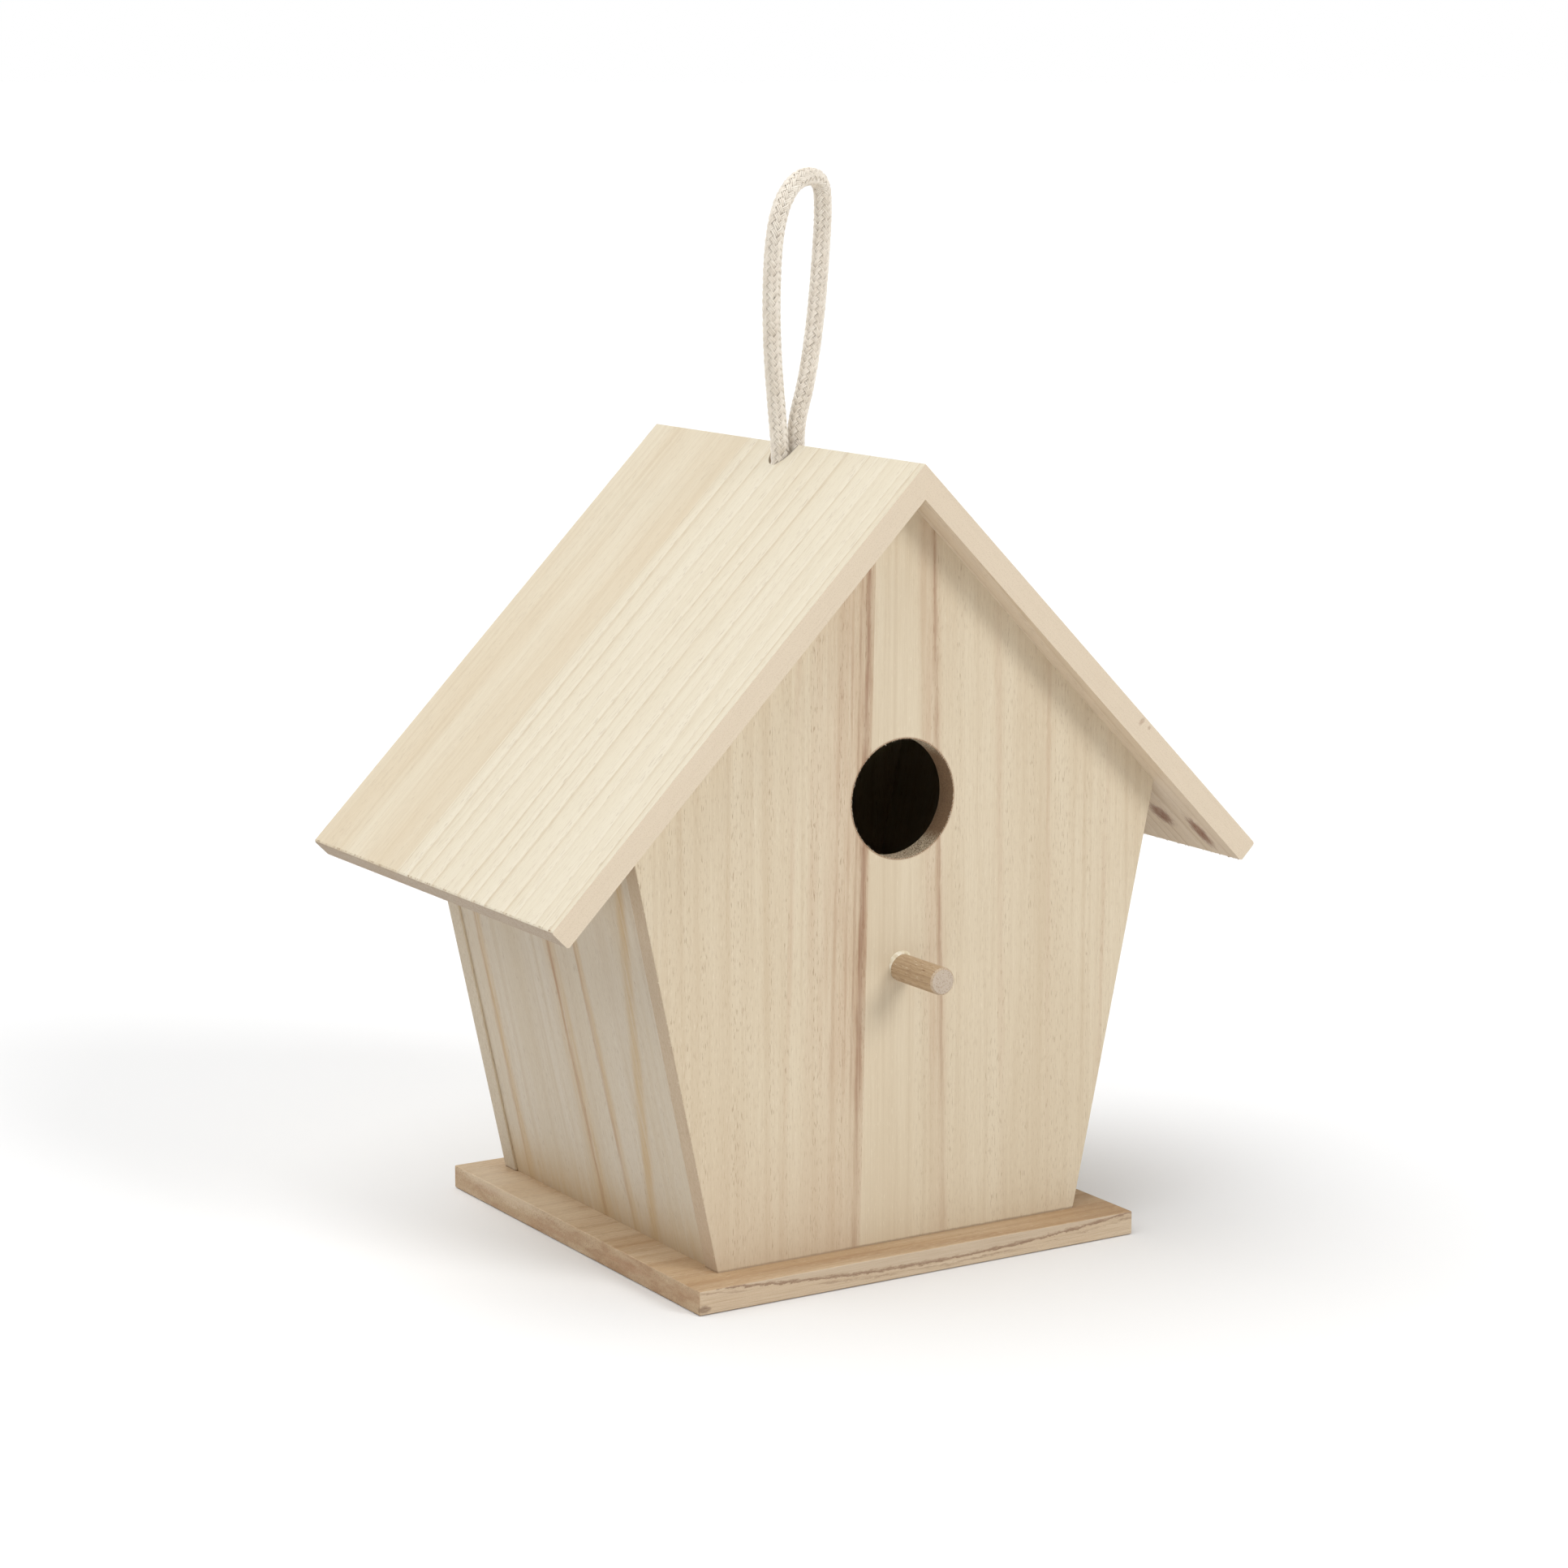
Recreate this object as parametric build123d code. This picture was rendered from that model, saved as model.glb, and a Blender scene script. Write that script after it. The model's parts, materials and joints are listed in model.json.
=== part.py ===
from build123d import *
import math
import os

# A small gabled birdhouse of thin paulownia boards, glued up, with a perch and a cotton hanging loop.
# Millimetres. The origin is the middle of the base board's underside, +Z is up, the front faces -Y.
# Every lengthwise place is measured from the middle of the base board.

# Driving dimensions
BOARD = 7.0                      # thickness of every board
BASE_WIDTH = 149.0
BASE_DEPTH = 150.0
RIDGE_HEIGHT = 233.0             # underside of the base to the ridge
EAVE_SPAN = 237.0                # over both eave tips, which are rounded
EAVE_TIP_HEIGHT = 114.0          # upper corner of the eave ends
ROOF_DEPTH = 150.0
BODY_DEPTH = 129.0               # over the front and back panels
BODY_SETBACK = 1.5               # the body and roof stand this far behind the middle of the base
FOOT_WIDTH = 123.0               # front panel where it stands on the base
FLARE = 0.2165                   # how far each side leans out, per millimetre of height
SIDE_RECESS = 0.8                # side panels lie this far inside the front and back panels' edges
EDGE_BREAK = 0.4                 # sanded edges
EAVE_BREAK = 0.9                 # the eave ends are rounder

HOLE_RADIUS = 17.25
HOLE_HEIGHT = 137.0
PERCH_RADIUS = 4.0
PERCH_BORE_RADIUS = 4.05
PERCH_HEIGHT = 87.9
PERCH_REACH = 21.0               # in front of the front panel
PERCH_CHAMFER = 0.5

FRONT_JOINT_X = -14.0            # the front panel's glue line at its foot
FRONT_JOINT_LEAN = 0.0233        # and how far it leans towards +X, per millimetre of height
BACK_JOINT_X = 22.0
LEFT_ROOF_JOINT_Y = 21.0
RIGHT_ROOF_JOINT_Y = -24.0

CORD_DIAMETER = 5.4
CORD_HOLE_RADIUS = 5.75
CORD_Y = -1.0                    # the cord's hole goes down through the ridge here
STRAND_X = 2.85                  # half the distance between the two strands in the hole
STRAND_END_HEIGHT = 219.0        # both ends of the loop meet the knot here
KNOT_RADIUS = 7.6
KNOT_LENGTH = 13.0
KNOT_ROUNDING = 5.0
KNOT_HEIGHT = 211.0
TAIL_LENGTH = 20.0               # below the middle of the knot
TAIL_SPLAY = 9.0                 # degrees

BRAD_RADIUS = 0.6
BRAD_LENGTH = 18.0
BRAD_HEAD_RADIUS = 1.0
BRAD_HEAD_LENGTH = 0.6
BRAD_SUNK = 0.2                  # heads are this far above the base's underside
BRAD_X_IN_PANELS = 38.0          # brads into the front and back panels
BRAD_Y_IN_SIDES = 34.0           # brads into the side panels, each way from the middle of the body
BRAD_X_IN_SIDES = 58.2

# Sizes that follow from them
half_span = EAVE_SPAN / 2
roof_rise = (RIDGE_HEIGHT - EAVE_TIP_HEIGHT) / half_span
pitch = math.atan(roof_rise)
apex_height = RIDGE_HEIGHT - BOARD / math.cos(pitch)
roof_front = BODY_SETBACK - ROOF_DEPTH / 2
roof_back = BODY_SETBACK + ROOF_DEPTH / 2
body_front = BODY_SETBACK - BODY_DEPTH / 2
body_back = BODY_SETBACK + BODY_DEPTH / 2
inner_front = body_front + BOARD
inner_back = body_back - BOARD
side_board_width = BOARD * math.sqrt(1 + FLARE * FLARE)

# The loop's route, from one side of the knot up, over and back down. It is a list chosen by hand.
# The left strand rises nearly straight, and the cord folds over at the top right and comes down again.
loop_route = [
    (-STRAND_X, CORD_Y, STRAND_END_HEIGHT),
    (-STRAND_X, CORD_Y, 229.5),
    (-5.6, -1.2, 243.0),
    (-7.2, -2.2, 262.0),
    (-7.8, -3.4, 283.0),
    (-5.6, -3.6, 298.5),
    (-0.2, -2.2, 307.6),
    (7.2, 0.8, 310.6),
    (14.8, 4.6, 309.2),
    (16.2, 5.6, 300.5),
    (14.6, 4.6, 286.0),
    (11.4, 2.3, 268.0),
    (7.1, 0.1, 251.0),
    (3.4, -1.0, 239.5),
    (STRAND_X, CORD_Y, 229.0),
    (STRAND_X, CORD_Y, STRAND_END_HEIGHT),
]


def roof_underside(x):
    """Height of the underside of the roof at a distance x from the middle."""
    return apex_height - abs(x) * roof_rise


def side_edge(z, recess=0.0):
    """Distance from the middle to the leaning side of the body at a height z."""
    return FOOT_WIDTH / 2 - recess + FLARE * (z - BOARD)


def where_side_meets_roof(offset):
    """The point where a side leaning like the body's, moved inwards by offset, meets the roof."""
    foot = FOOT_WIDTH / 2 - offset
    z = (apex_height - roof_rise * (foot - FLARE * BOARD)) / (1 + roof_rise * FLARE)
    return (foot + FLARE * (z - BOARD), z)


def slab(points, y_low, y_high):
    """A board: an outline in the XZ plane, extruded from y_low to y_high."""
    outline = Plane.XZ * make_face(Polyline(*points, close=True))
    return extrude(outline, amount=y_high - y_low, dir=(0, 1, 0)).moved(Location((0, y_low, 0)))


def cut_in_two(board, plane):
    """The two staves of a board that is glued up from two: the one behind the plane, then the other."""
    return split(board, bisect_by=plane, keep=Keep.BOTTOM), split(board, bisect_by=plane, keep=Keep.TOP)


def rod(start, direction, radius, length):
    """A round bar from a point along a direction."""
    return extrude(Plane(start, z_dir=direction) * Circle(radius), amount=length)


def gable_panel(y_low, y_high):
    """The five-sided front or back panel, with its leaning edges and its corner at the foot sanded."""
    shoulder_x, shoulder_z = where_side_meets_roof(0.0)
    foot = FOOT_WIDTH / 2
    outline = [
        (-foot, BOARD),
        (foot, BOARD),
        (shoulder_x, shoulder_z),
        (0, apex_height),
        (-shoulder_x, shoulder_z),
    ]
    panel = slab(outline, y_low, y_high)
    leaning = [e for e in panel.edges() if abs(e.center().X) > foot and e.length > 2 * BOARD
               and e.bounding_box().max.Z < shoulder_z + 1]
    return fillet(leaning, EDGE_BREAK)


def brad(x, y):
    """A brad driven straight up through the base."""
    shank = rod((x, y, BRAD_SUNK), (0, 0, 1), BRAD_RADIUS, BRAD_LENGTH)
    head = rod((x, y, BRAD_SUNK), (0, 0, 1), BRAD_HEAD_RADIUS, BRAD_HEAD_LENGTH)
    return shank + head


def base_brads():
    """The brads that hold the four walls down: two into each."""
    places = [(x, y) for x in (-BRAD_X_IN_PANELS, BRAD_X_IN_PANELS)
              for y in (body_front + BOARD / 2, body_back - BOARD / 2)]
    places += [(x, BODY_SETBACK + y) for x in (-BRAD_X_IN_SIDES, BRAD_X_IN_SIDES)
               for y in (-BRAD_Y_IN_SIDES, BRAD_Y_IN_SIDES)]
    return [brad(x, y) for x, y in places]


def brad_holes():
    """What the brads take out of the boards: their heads leave an open pocket under the base."""
    pockets = [rod((b.center().X, b.center().Y, 0), (0, 0, 1), BRAD_HEAD_RADIUS, BRAD_SUNK)
               for b in base_brads()]
    return base_brads() + pockets


def base_board():
    """The flat board that everything stands on."""
    board = Box(BASE_WIDTH, BASE_DEPTH, BOARD, align=(Align.CENTER, Align.CENTER, Align.MIN))
    return fillet(board.edges(), EDGE_BREAK) - brad_holes()


def front_panel():
    """The front panel's two staves, with the entrance hole and the perch's bore."""
    hole = rod((0, body_front - 1, HOLE_HEIGHT), (0, 1, 0), HOLE_RADIUS, BOARD + 2)
    bore = rod((0, body_front - 1, PERCH_HEIGHT), (0, 1, 0), PERCH_BORE_RADIUS, BOARD + 2)
    panel = gable_panel(body_front, inner_front) - hole - bore - brad_holes()
    joint = Plane((FRONT_JOINT_X, 0, BOARD), x_dir=(0, 1, 0), z_dir=(1, 0, -FRONT_JOINT_LEAN))
    return cut_in_two(panel, joint)


def back_panel():
    """The back panel's two staves."""
    panel = gable_panel(inner_back, body_back) - brad_holes()
    return cut_in_two(panel, Plane((BACK_JOINT_X, 0, 0), z_dir=(1, 0, 0)))


def side_panel(side):
    """A side panel between the front and back panels, bevelled at its foot and under the roof."""
    outer_x, outer_z = where_side_meets_roof(SIDE_RECESS)
    inner_x, inner_z = where_side_meets_roof(SIDE_RECESS + side_board_width)
    outline = [
        (side * side_edge(BOARD, SIDE_RECESS), BOARD),
        (side * outer_x, outer_z),
        (side * inner_x, inner_z),
        (side * side_edge(BOARD, SIDE_RECESS + side_board_width), BOARD),
    ]
    return slab(outline, inner_front, inner_back) - brad_holes()


def roof_board(side, joint_y):
    """A roof board's two staves, mitred at the ridge, square at the eave, drilled for the cord."""
    drop_x = BOARD * math.sin(pitch)
    drop_z = BOARD * math.cos(pitch)
    tip_x = half_span + EAVE_BREAK * (math.sqrt(2) - 1)
    tip_z = RIDGE_HEIGHT - roof_rise * tip_x
    outline = [
        (0, RIDGE_HEIGHT),
        (side * tip_x, tip_z),
        (side * (tip_x - drop_x), tip_z - drop_z),
        (0, apex_height),
    ]
    board = slab(outline, roof_front, roof_back)
    eave = [e for e in board.edges() if abs(e.center().X) > half_span - BOARD and e.length > ROOF_DEPTH - 1]
    board = fillet(eave, EAVE_BREAK)
    cord_hole = rod((0, CORD_Y, apex_height - BOARD), (0, 0, 1), CORD_HOLE_RADIUS, 3 * BOARD)
    return cut_in_two(board - cord_hole, Plane((0, joint_y, 0), z_dir=(0, 1, 0)))


def perch_dowel():
    """The perch: a dowel glued into a bore through the front panel, flush with its back."""
    dowel = rod((0, body_front - PERCH_REACH, PERCH_HEIGHT), (0, 1, 0), PERCH_RADIUS, PERCH_REACH + BOARD)
    return chamfer(dowel.edges().sort_by(Axis.Y)[0], PERCH_CHAMFER)


def route_radii(route):
    """For each corner, the largest arc that its two runs allow."""
    points = [Vector(*p) for p in route]
    radii = []
    for before, here, after in zip(points, points[1:], points[2:]):
        first_run = here - before
        second_run = after - here
        half_turn = math.radians(first_run.get_angle(second_run)) / 2
        radii.append(0.45 * min(first_run.length, second_run.length) / math.tan(half_turn))
    return radii


def hanging_cord():
    """The loop of cord as a plain tube: straight runs joined by tangent arcs."""
    radii = route_radii(loop_route)
    path = FilletPolyline(*loop_route, radius=radii)
    start = Plane(path @ 0, z_dir=path % 0)
    tube = sweep(start * Circle(CORD_DIAMETER / 2), path=path)
    section_times_length = math.pi * CORD_DIAMETER ** 2 / 4 * path.length
    print("cord radii", [round(r, 1) for r in radii])
    print("cord length", round(path.length, 1))
    print("cord volume", round(tube.volume), "section times length", round(section_times_length))
    return tube


def cord_knot():
    """The overhand knot inside the ridge, too big for the hole, with the cord's two tails below it."""
    lump = Cylinder(KNOT_RADIUS, KNOT_LENGTH).moved(Location((0, CORD_Y, KNOT_HEIGHT)))
    knot = fillet(lump.edges().filter_by(GeomType.CIRCLE), KNOT_ROUNDING)
    for side in (-1, 1):
        root = (side * STRAND_X, CORD_Y, KNOT_HEIGHT)
        splay = math.radians(TAIL_SPLAY)
        knot += rod(root, (0, 0, 1), CORD_DIAMETER / 2, STRAND_END_HEIGHT - KNOT_HEIGHT)
        knot += rod(root, (side * math.sin(splay), 0, -math.cos(splay)), CORD_DIAMETER / 2, TAIL_LENGTH)
    return knot


front_left, front_right = front_panel()
back_left, back_right = back_panel()
left_roof_front, left_roof_rear = roof_board(-1, LEFT_ROOF_JOINT_Y)
right_roof_front, right_roof_rear = roof_board(1, RIGHT_ROOF_JOINT_Y)

nodes = {
    "base_board": base_board(),
    "base_brads": Compound(children=base_brads()),
    "front_panel_left_stave": front_left,
    "front_panel_right_stave": front_right,
    "back_panel_left_stave": back_left,
    "back_panel_right_stave": back_right,
    "side_panel_left": side_panel(-1),
    "side_panel_right": side_panel(1),
    "roof_left_front_stave": left_roof_front,
    "roof_left_rear_stave": left_roof_rear,
    "roof_right_front_stave": right_roof_front,
    "roof_right_rear_stave": right_roof_rear,
    "perch_dowel": perch_dowel(),
    "hanging_cord": hanging_cord(),
    "cord_knot": cord_knot(),
}

os.makedirs("parts", exist_ok=True)
for name, shape in nodes.items():
    export_step(shape, "parts/" + name + ".step")
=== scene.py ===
import json
import math
import random

import bpy
from mathutils import Matrix, Vector, noise


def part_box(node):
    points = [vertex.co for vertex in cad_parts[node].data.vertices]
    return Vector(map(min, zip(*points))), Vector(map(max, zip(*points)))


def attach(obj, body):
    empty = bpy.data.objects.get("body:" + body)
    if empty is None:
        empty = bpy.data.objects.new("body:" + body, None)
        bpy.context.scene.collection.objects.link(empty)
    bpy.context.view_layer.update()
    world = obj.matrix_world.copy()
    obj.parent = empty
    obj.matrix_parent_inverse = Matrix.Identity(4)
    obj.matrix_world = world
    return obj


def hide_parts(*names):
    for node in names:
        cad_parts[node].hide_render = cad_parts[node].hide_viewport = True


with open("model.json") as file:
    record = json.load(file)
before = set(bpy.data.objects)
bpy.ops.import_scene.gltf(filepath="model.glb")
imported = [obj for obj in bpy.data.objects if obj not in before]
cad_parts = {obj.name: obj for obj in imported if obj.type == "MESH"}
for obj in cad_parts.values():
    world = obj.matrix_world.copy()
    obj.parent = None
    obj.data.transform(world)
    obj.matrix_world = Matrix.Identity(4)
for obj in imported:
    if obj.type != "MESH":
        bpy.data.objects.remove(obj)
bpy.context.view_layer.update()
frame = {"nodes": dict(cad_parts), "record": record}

# ---------------------------------------------------------------- camera
# The birdhouse is looked at from its left front, from a little above the perch, through a long lens
# that stands well back, so its upright edges stay nearly parallel.
ridge_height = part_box("roof_left_front_stave")[1].z
turn = math.radians(-31.631)
rise = math.radians(10.297)
stand_off = 1.150493
aim = Vector((-0.000824, 0.0, ridge_height * 0.5647))
towards_camera = Vector((
    math.sin(turn) * math.cos(rise),
    -math.cos(turn) * math.cos(rise),
    math.sin(rise),
))
lens = bpy.data.cameras.new("camera")
lens.sensor_width = 36.0
lens.lens = 88.757
lens.clip_start = 0.05
lens.clip_end = 2000.0
camera = bpy.data.objects.new("camera", lens)
camera.location = aim + towards_camera * stand_off
camera.rotation_mode = "QUATERNION"
camera.rotation_quaternion = towards_camera.to_track_quat("Z", "Y")
bpy.context.collection.objects.link(camera)
bpy.context.scene.camera = camera

# ---------------------------------------------------------------- studio
# A plain pale floor that runs on out of sight, a bright haze low on the horizon and two broad soft
# lights: one overhead and one from the front right, which draws the shadow under the roof.


class Shade:
    """A number or colour that varies over a surface. Sums and products of such values add their nodes."""

    def __init__(self, tree, socket=None):
        self.tree = tree
        self.socket = socket

    def node(self, kind, settings=None, values=None, out=0):
        made = self.tree.nodes.new(kind)
        for name, value in (settings or {}).items():
            setattr(made, name, value)
        for name, value in (values or {}).items():
            if isinstance(value, Shade):
                self.tree.links.new(value.socket, made.inputs[name])
            else:
                made.inputs[name].default_value = value
        return Shade(self.tree, made.outputs[out] if len(made.outputs) else None)

    def maths(self, operation, *values):
        return self.node("ShaderNodeMath", {"operation": operation}, dict(enumerate(values)))

    def __add__(self, other):
        return self.maths("ADD", self, other)

    def __sub__(self, other):
        return self.maths("SUBTRACT", self, other)

    def __rsub__(self, other):
        return self.maths("SUBTRACT", other, self)

    def __mul__(self, other):
        return self.maths("MULTIPLY", self, other)

    def __truediv__(self, other):
        return self.maths("DIVIDE", self, other)

    def __rtruediv__(self, other):
        return self.maths("DIVIDE", other, self)

    def __abs__(self):
        return self.maths("ABSOLUTE", self)

    __radd__ = __add__
    __rmul__ = __mul__

    def rise(self, low, high, top=1.0):
        """0 at low, top at high, with a soft start and end."""
        return self.node(
            "ShaderNodeMapRange",
            {"interpolation_type": "SMOOTHSTEP"},
            {"Value": self, "From Min": low, "From Max": high, "To Max": top},
        )

    def blend(self, under, over):
        """The colour over laid on the colour under, as thick as this value."""
        return self.node("ShaderNodeMix", {"data_type": "RGBA"}, {0: self, 6: under, 7: over}, out=2)

    def stretched(self, across, along, through):
        """These coordinates, multiplied axis by axis."""
        return self.node(
            "ShaderNodeVectorMath", {"operation": "MULTIPLY"}, {0: self, 1: (across, along, through)}
        )

    def mottle(self, scale=1.0, detail=2.0, roughness=0.5, shift=0.0):
        """Soft random patches on these coordinates, between 0 and 1."""
        return self.node(
            "ShaderNodeTexNoise",
            {"noise_dimensions": "4D"},
            {"Vector": self, "W": shift, "Scale": scale, "Detail": detail, "Roughness": roughness},
        )


def tint(red, green, blue):
    """A colour given as it looks, from 0 to 255, in the form that the shaders use."""
    looks = [value / 255.0 for value in (red, green, blue)]
    return tuple(v / 12.92 if v <= 0.04045 else ((v + 0.055) / 1.055) ** 2.4 for v in looks) + (1.0,)


def finish(name, roughness=0.6, **plain):
    """A new material, with its surface shader and a blank value that starts its nodes."""
    made = bpy.data.materials.new(name)
    made.use_nodes = True
    tree = made.node_tree
    surface = tree.nodes["Principled BSDF"]
    surface.inputs["Roughness"].default_value = roughness
    for socket, value in plain.items():
        surface.inputs[socket.replace("_", " ")].default_value = value
    return made, surface, Shade(tree)


def feed(surface, colour=None, roughness=None, height=None, depth=0.0001, strength=0.6):
    """Joins the varying values to the surface shader; height goes through a bump of that depth."""
    start = Shade(surface.id_data)
    if colour:
        start.tree.links.new(colour.socket, surface.inputs["Base Color"])
    if roughness:
        start.tree.links.new(roughness.socket, surface.inputs["Roughness"])
    if height:
        bump = start.node("ShaderNodeBump", None, {"Strength": strength, "Distance": depth, "Height": height})
        start.tree.links.new(bump.socket, surface.inputs["Normal"])


def mesh_piece(name, points, faces, material, smooth=True):
    """A named mesh object made of these points and faces, in one material."""
    data = bpy.data.meshes.new(name)
    data.from_pydata(points, [], faces)
    data.materials.append(material)
    data.polygons.foreach_set("use_smooth", [smooth] * len(data.polygons))
    data.update()
    piece = bpy.data.objects.new(name, data)
    bpy.context.collection.objects.link(piece)
    return piece


FLOOR_TONE = tint(235, 235, 235)
FLOOR_DROP = 0.0002
floor_rings = [0.4, 1.5, 6.0, 30.0, 200.0, 1500.0]
floor_parts = 96
floor_points = [(0.0, 0.0, -FLOOR_DROP)]
floor_faces = []
for ring, radius in enumerate(floor_rings):
    for part in range(floor_parts):
        angle = 2 * math.pi * part / floor_parts
        floor_points.append((radius * math.cos(angle), radius * math.sin(angle), -FLOOR_DROP))
        here = 1 + ring * floor_parts + part
        following = 1 + ring * floor_parts + (part + 1) % floor_parts
        if ring == 0:
            floor_faces.append((0, here, following))
        else:
            floor_faces.append((here - floor_parts, here, following, following - floor_parts))
floor_paper, floor_surface = finish("floor_paper", roughness=0.9)[:2]
floor_surface.inputs["Base Color"].default_value = FLOOR_TONE
floor_surface.inputs["Specular IOR Level"].default_value = 0.0
floor = mesh_piece("floor", floor_points, floor_faces, floor_paper)

HAZE_BRIGHTNESS = 1.0
SKY_BRIGHTNESS = 0.37
world = bpy.data.worlds.new("studio")
world.use_nodes = True
bpy.context.scene.world = world
sky = Shade(world.node_tree)
direction = sky.node("ShaderNodeTexCoord", out=0)
height_in_sky = sky.node("ShaderNodeSeparateXYZ", None, {0: direction}, out=2)
haze = height_in_sky.rise(0.09, 0.035)
glow = haze.blend((SKY_BRIGHTNESS,) * 3 + (1.0,), (HAZE_BRIGHTNESS,) * 3 + (1.0,))
world.node_tree.links.new(glow.socket, world.node_tree.nodes["Background"].inputs["Color"])


def soft_light(name, towards, brightness, spread):
    """A far, broad white light that shines from the direction towards, spread degrees wide."""
    lamp = bpy.data.lights.new(name, "SUN")
    lamp.energy = brightness * math.pi
    lamp.angle = math.radians(spread)
    placed = bpy.data.objects.new(name, lamp)
    placed.location = Vector(towards).normalized() * 3.0
    placed.rotation_mode = "QUATERNION"
    placed.rotation_quaternion = Vector(towards).to_track_quat("Z", "Y")
    bpy.context.collection.objects.link(placed)


soft_light("overhead_light", (-0.36, 0.16, 0.93), 0.80, 80)
soft_light("front_right_light", (0.42, -1.0, 0.65), 0.42, 24)
bpy.context.scene.view_settings.view_transform = "Standard"

# ---------------------------------------------------------------- hanging loop
# The loop is one length of round cotton cord, braided from 16 flat bundles of three yarns over a
# soft core. Both strands come up through one hole in the ridge, and the fold leans to the right.
MM = 0.001
BUNDLES_EACH_WAY = 8
BUNDLE_PITCH = 2.17 * MM
BUNDLE_FROM_MIDDLE = 2.06 * MM
WEAVE = 0.44 * MM
YARN_RADIUS = 0.27 * MM
YARN_SPACING = 0.5 * MM
YARN_LOOSENESS = 0.07 * MM
BUNDLE_ARCH = 0.04 * MM
CORE_RADIUS = 1.62 * MM
CORE_SIDES = 8
HAIR_ROOT = 2.45 * MM
THREE_SIDES = (0.0, 2.094, 4.189)
loop_route = [
    (-0.00285, -0.0010, 0.2190),
    (-0.00350, -0.0024, 0.2300),
    (-0.00440, -0.0018, 0.2425),
    (-0.00640, -0.0022, 0.2620),
    (-0.00720, -0.0034, 0.2830),
    (-0.00560, -0.0036, 0.2985),
    (-0.00020, -0.0022, 0.3076),
    (0.00720, 0.0008, 0.3106),
    (0.01480, 0.0046, 0.3092),
    (0.01620, 0.0056, 0.3005),
    (0.01460, 0.0046, 0.2860),
    (0.01140, 0.0023, 0.2680),
    (0.00710, 0.0001, 0.2510),
    (0.00310, -0.0006, 0.2395),
    (0.00285, -0.0004, 0.2310),
    (0.00285, -0.0010, 0.2190),
]


def line_along(name, route):
    """The points of one smooth open line that takes its shape from the route."""
    data = bpy.data.curves.new(name, "CURVE")
    data.dimensions = "3D"
    data.resolution_u = 32
    spline = data.splines.new("NURBS")
    spline.points.add(len(route) - 1)
    for spot, place in zip(spline.points, route):
        spot.co = (*place, 1.0)
    spline.order_u = 3
    spline.use_endpoint_u = True
    guide = bpy.data.objects.new(name, data)
    bpy.context.collection.objects.link(guide)
    drawn = bpy.data.meshes.new_from_object(guide)
    points = [corner.co.copy() for corner in drawn.vertices]
    bpy.data.objects.remove(guide)
    bpy.data.curves.remove(data)
    bpy.data.meshes.remove(drawn)
    return points


def stations_on(points, step):
    """Evenly spaced stations on a line: place, forward, side and third direction, never twisting."""
    run = [0.0]
    for before, after in zip(points, points[1:]):
        run.append(run[-1] + (after - before).length)
    count = max(2, round(run[-1] / step))
    places = []
    at = 0
    for number in range(count + 1):
        target = run[-1] * number / count
        while at < len(run) - 2 and run[at + 1] < target:
            at += 1
        share = (target - run[at]) / max(run[at + 1] - run[at], 1e-9)
        places.append(points[at].lerp(points[at + 1], min(share, 1.0)))
    made = []
    side = Vector((1.0, 0.0, 0.0))
    for number, place in enumerate(places):
        ahead = places[min(number + 1, count)] - places[max(number - 1, 0)]
        forward = ahead.normalized()
        side = (side - forward * side.dot(forward)).normalized()
        made.append((place, forward, side, forward.cross(side)))
    return made, run[-1] / count


def skin(rings, sides, closed_ends=True):
    """Points and faces of a tube through rings of points, each with that many sides."""
    points = [point for ring in rings for point in ring]
    faces = []
    for ring in range(len(rings) - 1):
        for side in range(sides):
            beside = (side + 1) % sides
            first = ring * sides
            faces.append((first + side, first + beside, first + sides + beside, first + sides + side))
    if closed_ends:
        faces.append(tuple(reversed(range(sides))))
        faces.append(tuple(range(len(points) - sides, len(points))))
    return points, faces


def join_into(points, faces, more):
    """Adds the points and faces of more, a pair, to the lists."""
    offset = len(points)
    points.extend(more[0])
    faces.extend(tuple(corner + offset for corner in face) for face in more[1])


def mark(piece, name, values):
    """Writes a value for every corner of the piece, which its material reads by name."""
    piece.data.attributes.new(name, "FLOAT", "POINT").data.foreach_set("value", values)


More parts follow.
